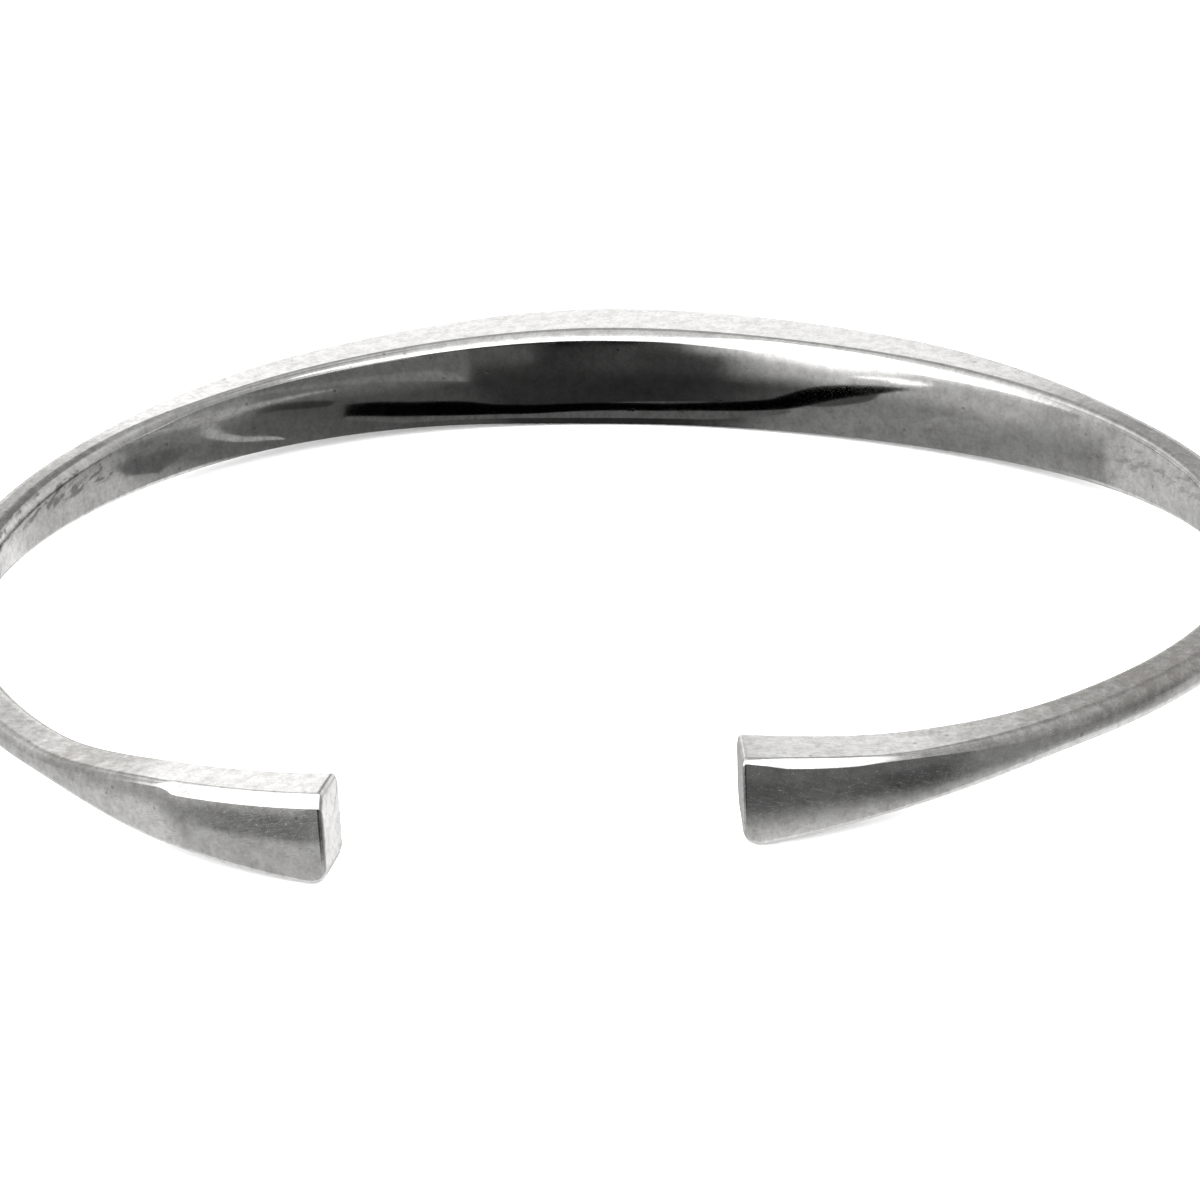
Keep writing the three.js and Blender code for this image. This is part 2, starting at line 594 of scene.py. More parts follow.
@dataclass
class CuffBar:
    """The one bar that the bangle is bent from.

    Lengths are in millimetres and angles in degrees. rim is the radius of the end faces' rims, and
    low_corner and top_corner those of the ends' corners seen from the side. Over tip_length at each end
    the rings are closer together. A crown is how far a side face leans at its edge, and fold the radius
    of the crease on top. bend is in degrees for each millimetre. A facet takes facet_cut of its width
    off the edge's radius. In the flat map of the skin the bar's length is cut into map_grid rows and
    columns, with a margin in each cell. soft_top widens the inner top edge. satin says how much satin
    wear the finish puts there, painted_top_shade how much painted shade it puts on the faces that look
    up, and scuff_and_shade where it puts scrapes together with painted shade along the top edges.
    """

    name: str = "silver_cuff"
    inner_length: float = 154.5
    rest_wear: float = 0.05
    arm_sag: float = 0.20
    rim: float = 0.20
    rim_steps: int = 6
    low_corner: float = 0.85
    top_corner: float = 0.25
    tip_length: float = 1.275
    tip_steps: int = 14
    inner_crown: float = 4.0
    outer_crown: float = 5.0
    fold: float = 0.9
    facet_cut: float = 0.7
    least_radius: float = 0.12
    steps: int = 640
    walk_steps: int = 4000
    cap_rings: int = 4
    map_grid: tuple[int, int] = (3, 4)
    map_margin: float = 0.03
    bend: Track = Track((
        (-1.0, 2.8), (-0.9, 2.2), (-0.8, 2.2), (-0.6, 2.4), (-0.4, 2.4), (-0.2, 2.2), (0.0, 1.5),
        (0.2, 1.2), (0.4, 2.8), (0.6, 3.4), (0.8, 1.8), (0.9, 1.9), (1.0, 2.8),
    ))
    height: Track = Track((
        (-1.0, 4.4), (-0.9, 2.95), (-0.8, 1.25), (-0.6, 1.8), (-0.4, 3.2), (-0.2, 4.35), (0.0, 5.6),
        (0.2, 5.1), (0.4, 3.7), (0.6, 1.65), (0.8, 1.65), (0.9, 2.5), (1.0, 4.35),
    ))
    thickness: Track = Track((
        (-1.0, 2.6), (-0.9, 2.35), (-0.8, 2.2), (-0.6, 2.0), (-0.4, 2.0), (-0.2, 3.4), (0.0, 4.5),
        (0.2, 3.8), (0.4, 2.0), (0.6, 2.1), (0.8, 2.2), (0.9, 2.5), (1.0, 2.8),
    ))
    edge: Track = Track((
        (-1.0, 0.30), (-0.6, 0.30), (-0.4, 0.30), (-0.3, 0.36), (-0.1, 0.60), (0.2, 0.65), (0.3, 0.5),
        (0.4, 0.40), (0.6, 0.30), (1.0, 0.30),
    ))
    outer_edge: Track = Track((
        (-1.0, 0.30), (-0.9, 0.32), (-0.84, 0.45), (-0.8, 0.50), (-0.7, 0.60), (-0.4, 0.6), (-0.2, 0.75),
        (0.2, 0.8), (0.4, 0.75), (0.6, 0.72), (0.8, 0.72), (0.88, 0.45), (0.92, 0.30), (1.0, 0.30),
    ))
    crease: Track = Track((
        (-1.0, 4.0), (-0.6, 4.0), (-0.4, 6.0), (-0.2, 10.0), (0.0, 12.0), (0.2, 12.0), (0.4, 8.0),
        (0.6, 4.0), (1.0, 4.0),
    ))
    facets: tuple[Facet, ...] = (
        Facet(Edge.OUTER_TOP, Track(((-1.0, 0.58), (-0.918, 0.52), (-0.906, 0.0), (1.0, 0.0))), 60.0),
        Facet(Edge.OUTER_TOP, Track((
            (-1.0, 0.0), (0.895, 0.0), (0.92, 0.14), (0.945, 0.36), (0.975, 0.40), (0.987, 0.26), (1.0, 0.0),
        )), 60.0),
        Facet(Edge.INNER_TOP, Track((
            (-1.0, 0.0), (0.03, 0.0), (0.12, 0.5), (0.17, 0.5), (0.26, 0.2), (0.4, 0.0), (1.0, 0.0),
        )), 62.0),
    )
    soft_top: Track = Track((
        (-1.0, 0.0), (-0.7, 0.4), (-0.55, 0.55), (-0.47, 0.5), (-0.39, 0.40), (-0.34, 0.28), (-0.29, 0.05),
        (-0.25, 0.0), (1.0, 0.0),
    ))
    satin: Track = Track((
        (-1.0, 0.0), (-0.92, 0.1), (-0.86, 0.9), (-0.6, 1.0), (-0.5, 0.6), (-0.38, 0.3), (-0.3, 0.0),
        (0.4, 0.0), (0.55, 0.8), (0.8, 1.0), (0.86, 0.6), (0.90, 0.1), (1.0, 0.0),
    ))
    # painted shade along the arms: how much the upward faces are darkened
    painted_top_shade: Track = Track((
        (-1.0, 0.0), (-0.91, 0.0), (-0.88, 0.6), (-0.84, 0.7), (-0.80, 0.35), (-0.6, 0.3), (-0.5, 0.0),
        (0.55, 0.0), (0.68, 0.8), (0.75, 0.85), (0.80, 0.7), (0.86, 0.5), (0.90, 0.2), (0.93, 0.0),
        (1.0, 0.0),
    ))
    # where the bar is scuffed: real scrapes, plus painted shade along the top edges
    scuff_and_shade: Track = Track((
        (-1.0, 0.0), (-0.6, 0.2), (-0.5, 0.9), (-0.395, 1.0), (-0.365, 0.25), (-0.3, 0.1), (-0.2, 0.0),
        (0.34, 0.0), (0.39, 0.45), (0.5, 0.45), (0.58, 0.0), (1.0, 0.0),
    ))
    moved: tuple[float, float] = (0.0, 0.0)
    forging: Forging = field(default_factory=Forging)
    finish: Silver = field(default_factory=Silver)

    def stations(self) -> tuple[np.ndarray, np.ndarray]:
        """Where the bar is cut into rings, which are closer together over the rounded rims.

        Returns:
            Places from -1 to 1, and the angle that the rim has turned there, from 0 to a right angle.
        """
        half = self.inner_length / 2
        turned = np.radians(np.linspace(0, 90, self.rim_steps + 1))
        short = self.rim * (1 - np.sin(turned)) / half
        tip = np.linspace(short[0], self.tip_length / half, self.tip_steps, endpoint=False)
        reach = 1 - self.tip_length / half
        body = np.concatenate([tip - 1, np.linspace(-reach, reach, self.steps + 1), 1 - tip[::-1]])
        places = np.concatenate([-1 + short[:0:-1], body, 1 - short[1:]])
        turned = np.concatenate([turned[:0:-1], np.zeros(len(body)), turned[1:]])
        return places, turned

    def path(self, places: np.ndarray) -> tuple[np.ndarray, np.ndarray, np.ndarray]:
        """Walks the inner face's line, seen from above, in short steps that turn by the bend.

        Args:
            places: places from -1 to 1, in order.

        Returns:
            x, y and the angle turned at each place, from the back's middle.
        """
        walk = np.linspace(-1, 1, self.walk_steps + 1)
        step = self.inner_length / 2 * (walk[1] - walk[0])
        bend = np.radians(self.bend.at(walk))
        turn = np.concatenate([[0], np.cumsum((bend[1:] + bend[:-1]) / 2 * step)])
        turn -= np.interp(0, walk, turn)
        middle = (turn[1:] + turn[:-1]) / 2
        x = np.concatenate([[0], np.cumsum(step * np.cos(middle))])
        y = np.concatenate([[0], np.cumsum(-step * np.sin(middle))])
        x -= np.interp(0, walk, x)
        y -= np.interp(0, walk, y)
        return tuple(np.interp(places, walk, line) for line in (x, y, turn))

    def line_beside(self, places: np.ndarray, outward: np.ndarray | float) -> np.ndarray:
        """A line beside the inner face, seen from above, once the bar is built.

        Args:
            places: places from -1 to 1.
            outward: how far outside the inner face it runs.

        Returns:
            x and y at each place.
        """
        x, y, turn = self.path(places)
        return np.stack([x + np.sin(turn) * outward, y + np.cos(turn) * outward], axis=1) + self.moved

    def facet_on(self, places: np.ndarray, edge: Edge) -> tuple[np.ndarray, float]:
        """The facets on one long edge.

        Args:
            places: places from -1 to 1.
            edge: which long edge.

        Returns:
            The facets' width at each place, and how far they lean back from upright, in radians.
        """
        width, lean = np.zeros(len(places)), math.radians(45)
        for facet in self.facets:
            if facet.edge is edge:
                width, lean = width + facet.width.at(places), math.radians(90 - facet.tilt)
        return width, lean

    def quarter(self, places: np.ndarray, edge: Edge) -> Outline:
        """A quarter of the section, from a side face's middle over a long edge to the flat.

        It is made of turns, each with the lean it ends at, its radius, its number of pieces and its wear.

        Args:
            places: places from -1 to 1.
            edge: which long edge; the quarter is always made as if it were the inner top one.

        Returns:
            The quarter's outlines.
        """
        count = len(places)
        inner = edge in (Edge.INNER_TOP, Edge.INNER_LOW)
        crown = math.radians(self.inner_crown if inner else self.outer_crown)
        crease = np.radians(self.crease.at(places)) if inner else np.zeros(count)
        facet, facet_lean = self.facet_on(places, edge)
        radius = (self.edge if inner else self.outer_edge).at(places)
        if edge is Edge.INNER_TOP:
            radius = radius + self.soft_top.at(places)
        radius = np.maximum(radius - self.facet_cut * facet, self.least_radius)
        below = facet * math.cos(facet_lean) + radius * (np.cos(crease) - math.sin(crown))
        below = below + self.fold * (1 - np.cos(crease))
        side = (self.height.at(places) / 2 - below) / math.sin(crown)
        face, before_facet, after_facet, crease_fold = (
            (np.full(count, crown), side, 8, 0.3),
            (np.full(count, facet_lean), radius, 6, 1.0),
            (np.pi / 2 - crease, radius, 6, 1.0),
            (np.full(count, np.pi / 2), np.full(count, self.fold), 4, 0.5),
        )
        lean, out, up = np.zeros(count), np.zeros(count), np.zeros(count)
        rows = [(out, up, lean, 0.0)]
        for turn in (face, before_facet, after_facet, crease_fold):
            end, bow, pieces, wear = turn
            start = lean
            for share in np.linspace(0, 1, pieces + 1)[1:]:
                lean = start + (end - start) * share
                here = out + bow * (np.cos(start) - np.cos(lean)), up + bow * (np.sin(lean) - np.sin(start))
                rows.append((*here, lean, wear))
            out, up = here
            if turn is before_facet:
                out, up = out + facet * math.sin(facet_lean), up + facet * math.cos(facet_lean)
                rows.append((out, up, lean, wear))
        points = [np.stack([row[part] for row in rows], axis=1) for part in range(3)]
        wear = np.tile([row[3] for row in rows], (count, 1))
        return Outline(points[0], points[1], -np.cos(points[2]), np.sin(points[2]), wear)

    @staticmethod
    def flat(start: Outline, end: Outline, way: float, shares: tuple[float, ...]) -> Outline:
        """Points on the level stretch between two edges.

        Args:
            start: the edge it comes from.
            end: the edge it goes to.
            way: 1 on top and -1 underneath.
            shares: how far along it the points are.

        Returns:
            The points.
        """
        share = np.array(shares)
        out = start.out[:, -1:] + (end.out[:, :1] - start.out[:, -1:]) * share
        up = start.up[:, -1:] + (end.up[:, :1] - start.up[:, -1:]) * share
        level = np.zeros(out.shape)
        return Outline(out, up, level, level + way, level)

    def section(self, places: np.ndarray) -> Outline:
        """Whole sections, from the middle of the underside round by the inner face.

        Args:
            places: places from -1 to 1.

        Returns:
            The outlines.
        """
        thickness = self.thickness.at(places)
        inner_low = self.quarter(places, Edge.INNER_LOW).upside_down().backwards()
        inner_top = self.quarter(places, Edge.INNER_TOP).without_first()
        outer_top = self.quarter(places, Edge.OUTER_TOP).on_far_side(thickness).backwards()
        outer_low = self.quarter(places, Edge.OUTER_LOW).on_far_side(thickness).upside_down().without_first()
        top = self.flat(inner_top, outer_top, 1.0, (0.1, 0.3, 0.5, 0.7, 0.9))
        first = self.flat(outer_low, inner_low, -1.0, (0.5, 0.9))
        last = self.flat(outer_low, inner_low, -1.0, (0.1,))
        return first.then(inner_low, inner_top, top, outer_top, outer_low, last)

    def skin(self) -> dict[str, np.ndarray]:
        """Every ring of the bar with its normals, in millimetres.

        Returns:
            Arrays named points, normals, wear, along and around, with one row for each ring.
        """
        places, turned = self.stations()
        outline = self.section(places)
        x, y, turn = self.path(places)
        zero = np.zeros(len(places))
        outward = np.stack([np.sin(turn), np.cos(turn), zero], axis=1)[:, None, :]
        forward = np.stack([np.cos(turn), -np.sin(turn), zero], axis=1)[:, None, :]
        upward = np.array([0.0, 0.0, 1.0])
        level = self.level(places, y) - self.rest_wear
        centre = np.stack([x, y, level], axis=1)[:, None, :]
        up = self.cut_corners(places, outline.up)
        points = centre + outward * outline.out[..., None] + upward * up[..., None]
        across = outward * outline.lean_up[..., None] - upward * outline.lean_out[..., None]
        lengthwise = np.gradient(points, places, axis=0)
        normals = np.cross(across, lengthwise)
        normals *= np.sign(np.sum(
            normals * (outward * outline.lean_out[..., None] + upward * outline.lean_up[..., None]),
            axis=2, keepdims=True,
        ))
        normals /= np.linalg.norm(normals, axis=2, keepdims=True)
        dip, slope = self.forging.dip(points)
        points = points - dip[..., None] * normals
        normals = normals + slope - np.sum(slope * normals, axis=2, keepdims=True) * normals
        normals /= np.linalg.norm(normals, axis=2, keepdims=True)
        steps = np.linalg.norm(np.diff(np.stack([outline.out, outline.up], axis=2), axis=1), axis=2)
        around = np.concatenate([zero[:, None], np.cumsum(steps, axis=1)], axis=1)
        points, normals = self.round_rims(points, normals, turned, forward * np.sign(places)[:, None, None])
        wear = np.maximum(outline.wear, np.sin(turned)[:, None])
        points[..., 2] = np.maximum(points[..., 2], 0.0)
        along = np.repeat(places[:, None] * self.inner_length / 2, around.shape[1], axis=1)
        return {"points": points, "normals": normals, "wear": wear, "along": along, "around": around}

    def cut_corners(self, places: np.ndarray, up: np.ndarray) -> np.ndarray:
        """Rounds the corners that the two ends show from the side, more below than on top.

        Args:
            places: places from -1 to 1.
            up: height of each point above the bar's middle.

        Returns:
            The heights, drawn in near the ends.
        """
        left = (1 - np.abs(places))[:, None] * self.inner_length / 2
        half = self.height.at(places)[:, None] / 2
        shares = []
        for radius in (self.low_corner, self.top_corner):
            inside = np.clip(radius - left, 0, radius)
            shares.append(1 - (radius - np.sqrt(radius**2 - inside**2)) / half)
        return up * np.where(up < 0, *shares)

    def level(self, places: np.ndarray, y: np.ndarray) -> np.ndarray:
        """Height of the bar's middle, which falls from the back to the ends and sags a little between.

        Args:
            places: places from -1 to 1.
            y: how far forward each is.

        Returns:
            The heights.
        """
        ends = np.array([-1.0, 0.0, 1.0])
        left, back, right = self.height.at(ends) / 2
        _, reach, _ = self.path(ends)
        end_height = np.where(places < 0, left, right)
        end_reach = np.where(places < 0, reach[0], reach[2])
        share = y / end_reach
        return back + (end_height - back) * share - 4 * self.arm_sag * share * (1 - share)

    def round_rims(
        self, points: np.ndarray, normals: np.ndarray, turned: np.ndarray, out_of_end: np.ndarray
    ) -> tuple[np.ndarray, np.ndarray]:
        """Draws the rings at both ends in, so that the end faces have rounded rims.

        Args:
            points: the rings.
            normals: their normals.
            turned: how far the rim has turned at each ring.
            out_of_end: the way out of the nearer end, at each ring.

        Returns:
            The rings and normals with the rims.
        """
        middle = (points.max(axis=1, keepdims=True) + points.min(axis=1, keepdims=True)) / 2
        reach = np.linalg.norm(points - middle, axis=2, keepdims=True)
        drawn_in = self.rim * (1 - np.cos(turned))[:, None, None]
        points = middle + (points - middle) * (1 - drawn_in / np.maximum(reach, self.rim * 2))
        angle = turned[:, None, None]
        normals = np.cos(angle) * normals + np.sin(angle) * out_of_end
        return points, normals / np.linalg.norm(normals, axis=2, keepdims=True)

    def capped(self, skin: dict[str, np.ndarray]) -> dict[str, np.ndarray]:
        """Adds smaller and smaller rings that fill both end faces.

        Args:
            skin: the rings of the bar.

        Returns:
            The same arrays with the end faces' rings before and after.
        """
        made = dict(skin)
        for end, grow in ((0, -1), (-1, 1)):
            ring = skin["points"][end]
            middle = (ring.max(axis=0) + ring.min(axis=0)) / 2
            reach = np.linalg.norm(ring - middle, axis=1).max()
            shares = np.linspace(1, 0, self.cap_rings + 2)[1:-1, None]
            extra = {
                "points": middle + (ring - middle) * shares[..., None],
                "normals": np.repeat(skin["normals"][end][None], len(shares), axis=0),
                "wear": skin["wear"][end][None] * shares**4,
                "along": skin["along"][end][None] + grow * reach * (1 - shares),
                "around": np.repeat(skin["around"][end][None], len(shares), axis=0),
            }
            for name, rows in extra.items():
                order = (rows[::-1], made[name]) if grow < 0 else (made[name], rows)
                made[name] = np.concatenate(order)
        return made

    def build(self, box: tuple[Vector, Vector]) -> bpy.types.Object:
        """Makes the bar's mesh and dresses it.

        Args:
            box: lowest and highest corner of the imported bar, in metres.

        Returns:
            The bar.
        """
        skin = self.capped(self.skin())
        low, high = skin["points"].min(axis=(0, 1)), skin["points"].max(axis=(0, 1))
        shift = (np.array(box[0]) + np.array(box[1])) / 2 / MM - (low + high) / 2
        shift[2] = 0.0
        self.moved = tuple(shift[:2])
        points = skin["points"] + shift
        ends = points[[0, -1]].mean(axis=1)
        vertices = np.concatenate([points.reshape(-1, 3), ends]) * MM
        quads, fans = self.faces(*points.shape[:2])
        mesh = bpy.data.meshes.new(self.name)
        mesh.from_pydata(vertices.tolist(), [], quads.tolist() + fans.tolist())
        self.mark(mesh, skin, quads, fans)
        mesh.shade_smooth()
        normals = skin["normals"].reshape(-1, 3)
        normals = np.concatenate([normals, skin["normals"][[0, -1], 0]])
        mesh.normals_split_custom_set_from_vertices(normals.tolist())
        mesh.materials.append(self.finish.material())
        return placed(self.name, mesh)

    @staticmethod
    def faces(rings: int, size: int) -> tuple[np.ndarray, np.ndarray]:
        """The faces over the rings, and those that close the middle of both end faces.

        Args:
            rings: how many rings there are.
            size: points in each ring; the two ends' middles are numbered after the last ring.

        Returns:
            Four-cornered faces and triangles, as vertex numbers.
        """
        ring, spot = np.meshgrid(np.arange(rings - 1), np.arange(size), indexing="ij")
        after = (spot + 1) % size
        near, far = ring * size, (ring + 1) * size
        quads = np.stack([near + spot, far + spot, far + after, near + after]).reshape(4, -1).T
        first, following = np.arange(size), (np.arange(size) + 1) % size
        last = (rings - 1) * size
        fans = np.concatenate([
            np.stack([np.full(size, rings * size), first, following], axis=1),
            np.stack([np.full(size, rings * size + 1), last + following, last + first], axis=1),
        ])
        return quads, fans

    def mark(
        self, mesh: bpy.types.Mesh, skin: dict[str, np.ndarray], quads: np.ndarray, fans: np.ndarray
    ) -> None:
        """Writes where each spot is on the bar, how rubbed it is, and a flat map of the whole skin.

        Args:
            mesh: the bar's mesh.
            skin: its rings.
            quads: its four-cornered faces, as vertex numbers.
            fans: the triangles in the middle of the end faces.
        """
        corners, tips = self.corner_places(skin, quads, fans)
        spots = np.concatenate([corners.reshape(-1, 2), tips.reshape(-1, 2)])
        middles = np.concatenate([
            np.repeat(corners[:, :, 0].mean(axis=1), 4), np.repeat(tips[:, :, 0].mean(axis=1), 3)
        ])
        flat = self.flat_map(skin, spots, middles)
        mesh.uv_layers.new(name="OFBake").uv.foreach_set("vector", flat.astype(np.float32).ravel())
        share = np.append(2 * skin["along"].ravel() / self.inner_length, [-1.0, 1.0])
        # satin wear, painted shade on the upward faces, and the scuffs, which also carry painted shade along
        # the top edges
        state = np.stack([track.at(share) for track in (self.satin, self.painted_top_shade, self.scuff_and_shade)], axis=1)
        place = np.concatenate([spots, np.zeros((len(spots), 1))], axis=1)
        wear = np.append(skin["wear"].ravel(), [0.0, 0.0])
        for name, kind, domain, values in (
            ("place", "FLOAT_VECTOR", "CORNER", place),
            ("state", "FLOAT_VECTOR", "POINT", state),
            ("wear", "FLOAT", "POINT", wear),
        ):
            kept = mesh.attributes.new(name, kind, domain)
            kept.data.foreach_set("value" if kind == "FLOAT" else "vector", values.astype(np.float32).ravel())

    def corner_places(
        self, skin: dict[str, np.ndarray], quads: np.ndarray, fans: np.ndarray
    ) -> tuple[np.ndarray, np.ndarray]:
        """Where each face's corners are along the bar and round its section.

        Args:
            skin: the rings.
            quads: the four-cornered faces.
            fans: the end faces' triangles.

        Returns:
            Both places of each corner, of the four-cornered faces and of the triangles.
        """
        along, around = skin["along"], skin["around"]
        size = along.shape[1]
        outline = np.stack([along, around], axis=2).reshape(-1, 2)
        ends = np.array([[along[0, 0] - self.rim, 0.0], [along[-1, 0] + self.rim, 0.0]])
        place = np.concatenate([outline, ends])
        round_trip = np.append(around[:, -1] + around[:, 1] - around[:, 0], [around[0, -1], around[-1, -1]])
        corners = place[quads]
        closing = quads[:, 0] % size == size - 1
        for corner in (2, 3):
            corners[closing, corner, 1] = round_trip[quads[closing, corner] // size]
        tips = place[fans]
        tips[:, 0, 1] = tips[:, 1, 1]
        return corners, tips

    def flat_map(self, skin: dict[str, np.ndarray], spots: np.ndarray, middles: np.ndarray) -> np.ndarray:
        """A flat map of the skin, with the bar cut into lengths that lie beside each other.

        Args:
            skin: the rings.
            spots: place along the bar and round it, for each corner of each face.
            middles: place along the bar of the middle of each corner's face.

        Returns:
            Two numbers from 0 to 1 for each corner.
        """
        along, around = skin["along"], skin["around"]
        rows, columns = self.map_grid
        start, end = along.min() - self.rim, along.max() + self.rim
        length = (end - start) / (rows * columns)
        cell = np.clip((middles - start) // length, 0, rows * columns - 1)
        room = 1 - 2 * self.map_margin
        across = self.map_margin + room * ((spots[:, 0] - start) / length - cell)
        upward = self.map_margin + room * spots[:, 1] / around.max()
        return np.stack([(cell % columns + across) / columns, (cell // columns + upward) / rows], axis=1)


# ---------------------------------------------------------------- studio


@dataclass(frozen=True)
class Belt:
    """One belt of the sky: its brightness over the azimuth, and the elevations over which it begins."""

    begins: tuple[float, float]
    ramp: tuple[tuple[float, float], ...]


@dataclass(frozen=True)
class Panel:
    """A soft-edged rectangle in the sky: its azimuths, its elevations, the softness of both, its glow."""

    azimuth: tuple[float, float]
    elevation: tuple[float, float]
    soft: tuple[float, float]
    glow: float


@dataclass(frozen=True)
class Sky:
    """Light that the silver mirrors, by the way it comes from.

    Angles are in degrees. Azimuth 0 is the front, where the gap is, and 90 the right side. The belts
    follow each other from straight below to straight above. The skyline is where the second one, the
    table, meets the third, the wall, and the crown where the fourth, the upper wall, begins. low_panels
    lie on the table's side of the skyline, so the wall covers them. mottle is how uneven it all is.
    """

    belts: tuple[Belt, ...] = (
        Belt((-90.0, -80.0), (
            (-180, 0.50), (-150, 0.70), (-108, 0.80), (-84, 0.72), (-36, 0.72), (60, 0.76), (108, 0.70),
            (132, 0.80), (150, 0.90), (180, 0.50),
        )),
        Belt((-43.0, -28.0), (
            (-180, 0.45), (-150, 0.46), (-120, 0.52), (-96, 0.50), (-88, 0.40), (-74, 0.36), (-66, 0.30),
            (-58, 0.21), (-46, 0.15), (-36, 0.15), (-30, 0.22), (-24, 0.20), (-16, 0.06), (0, 0.025),
            (14, 0.035), (17, 0.08), (36, 0.10), (44, 0.085), (50, 0.06), (58, 0.075), (66, 0.19), (74, 0.21),
            (84, 0.24), (97, 0.30), (103, 0.43), (132, 0.47), (144, 0.60), (153, 0.95), (165, 0.60),
            (180, 0.45),
        )),
        Belt((-1.5, 1.5), (
            (-180, 0.92), (-168, 1.02), (-158, 1.12), (-148, 0.85), (-138, 0.52), (-120, 0.46), (-84, 0.43),
            (-74, 0.50), (-64, 1.20), (-54, 1.70), (24, 1.70), (38, 0.90), (50, 0.50), (60, 0.32), (84, 0.27),
            (97, 0.28), (104, 0.46), (120, 0.52), (132, 0.60), (144, 0.80), (156, 0.78), (168, 0.70),
            (176, 0.74), (180, 0.92),
        )),
        Belt((0.0, 4.0), (
            (-180, 0.34), (-150, 0.36), (-132, 0.50), (-114, 0.65), (-100, 0.75), (-88, 0.88), (-72, 0.95),
            (-60, 0.75), (-36, 0.65), (-24, 0.82), (0, 0.95), (12, 0.95), (36, 0.65), (60, 0.52),
            (84, 0.36), (98, 0.30), (112, 0.46), (140, 0.46), (160, 0.32), (180, 0.34),
        )),
        Belt((57.0, 67.0), (
            (-180, 0.55), (-90, 0.62), (0, 0.68), (60, 0.46), (96, 0.28), (135, 0.30), (180, 0.55),
        )),
    )
    skyline: tuple[tuple[float, float], ...] = (
        (-180, -10), (-72, -14), (-46, -13.7), (-36, -15), (-31, -14), (-26, -13), (-20, -10.5), (-12, -3),
        (0, 2), (12, 6), (24, 8), (50, 0), (180, -10),
    )
    skyline_span: tuple[float, float] = (-40.0, 60.0)
    crown: tuple[tuple[float, float], ...] = (
        (-180, 23.5), (-172, 25), (-118, 25), (-84, 38), (-60, 41), (50, 41), (84, 38), (118, 25), (165, 23),
        (180, 23.5),
    )
    low_panels: tuple[Panel, ...] = (
        Panel((-32.0, -22.0), (-12.0, -6.0), (7.0, 5.0), 0.52),
        Panel((-36.0, -30.0), (-15.5, -6.0), (4.0, 4.0), 0.45),
        Panel((-62.0, -37.0), (-17.0, -6.0), (7.0, 6.0), 0.50),
        Panel((-66.0, -46.0), (-18.5, -6.0), (4.0, 3.0), 0.40),
        Panel((-22.0, -12.0), (-21.0, -15.5), (3.0, 2.0), 0.035),
        Panel((6.0, 13.0), (-15.0, -11.0), (4.0, 3.0), 0.08),
    )
    panels: tuple[Panel, ...] = (
        Panel((-10.0, 4.0), (-11.0, -4.0), (6.0, 2.0), 0.012),
        Panel((-10.0, -1.0), (-13.0, -12.0), (3.0, 0.5), 0.0),
        Panel((16.0, 62.0), (-21.0, -8.0), (1.5, 2.0), 0.12),
        Panel((64.0, 97.0), (-25.0, -4.0), (3.0, 3.0), 0.21),
        Panel((20.0, 50.0), (30.0, 44.0), (6.0, 5.0), 1.60),
        Panel((-88.0, -69.0), (-50.0, -25.5), (5.0, 2.5), 0.60),
        Panel((-60.0, -20.0), (-50.0, -29.5), (6.0, 2.0), 0.42),
    )
    mottle: float = 0.16
    mottle_scale: float = 5.0

    def radiance(self, bench: Bench) -> Wire:
        """How bright the sky is each way.

        Args:
            bench: the world's bench.

        Returns:
            The brightness.
        """
        way = bench.wire("ShaderNodeTexCoord", "Generated")
        right, away, up = bench.split(way)
        degrees = 180 / math.pi
        azimuth = bench.math("ARCTAN2", right, -away) * degrees
        elevation = bench.math("ARCSINE", up) * degrees
        starts = (None, None, self.skyline, self.crown, None)
        total: Wire | None = None
        for belt, start in zip(self.belts, starts):
            if start is self.skyline:
                total = self.covered(bench, total, self.low_panels, azimuth, elevation)
            height = elevation - self.border(bench, azimuth, start) if start else elevation
            grey = bench.ramp(azimuth, -180, 180, list(belt.ramp))
            total = grey if total is None else total + (grey - total) * bench.smooth(height, *belt.begins)
        total = self.covered(bench, total, self.panels, azimuth, elevation)
        return total * (1.0 + self.mottle * 2 * (bench.noise(way, self.mottle_scale, detail=3.0) - 0.5))

    @staticmethod
    def covered(
        bench: Bench, under: Wire, panels: tuple[Panel, ...], azimuth: Wire, elevation: Wire
    ) -> Wire:
        """Panels laid over a brightness.

        Args:
            bench: the world's bench.
            under: the brightness without them.
            panels: the panels, the lowest layer first.
            azimuth: the way looked at.
            elevation: how high it looks.

        Returns:
            The brightness with them.
        """
        for panel in panels:
            inside = bench.window(azimuth, *panel.azimuth, panel.soft[0])
            inside = inside * bench.window(elevation, *panel.elevation, panel.soft[1])
            under = under + (panel.glow - under) * inside
        return under

    def border(self, bench: Bench, azimuth: Wire, stops: tuple[tuple[float, float], ...]) -> Wire:
        """Elevation of a border between two belts, which wanders with the azimuth.

        Args:
            bench: the world's bench.
            azimuth: the way looked at.
            stops: azimuths with the border's elevation there.

        Returns:
            The elevation in degrees.
        """
        low, high = self.skyline_span
        shares = [(place, (height - low) / (high - low)) for place, height in stops]
        return bench.ramp(azimuth, -180, 180, shares) * (high - low) + low


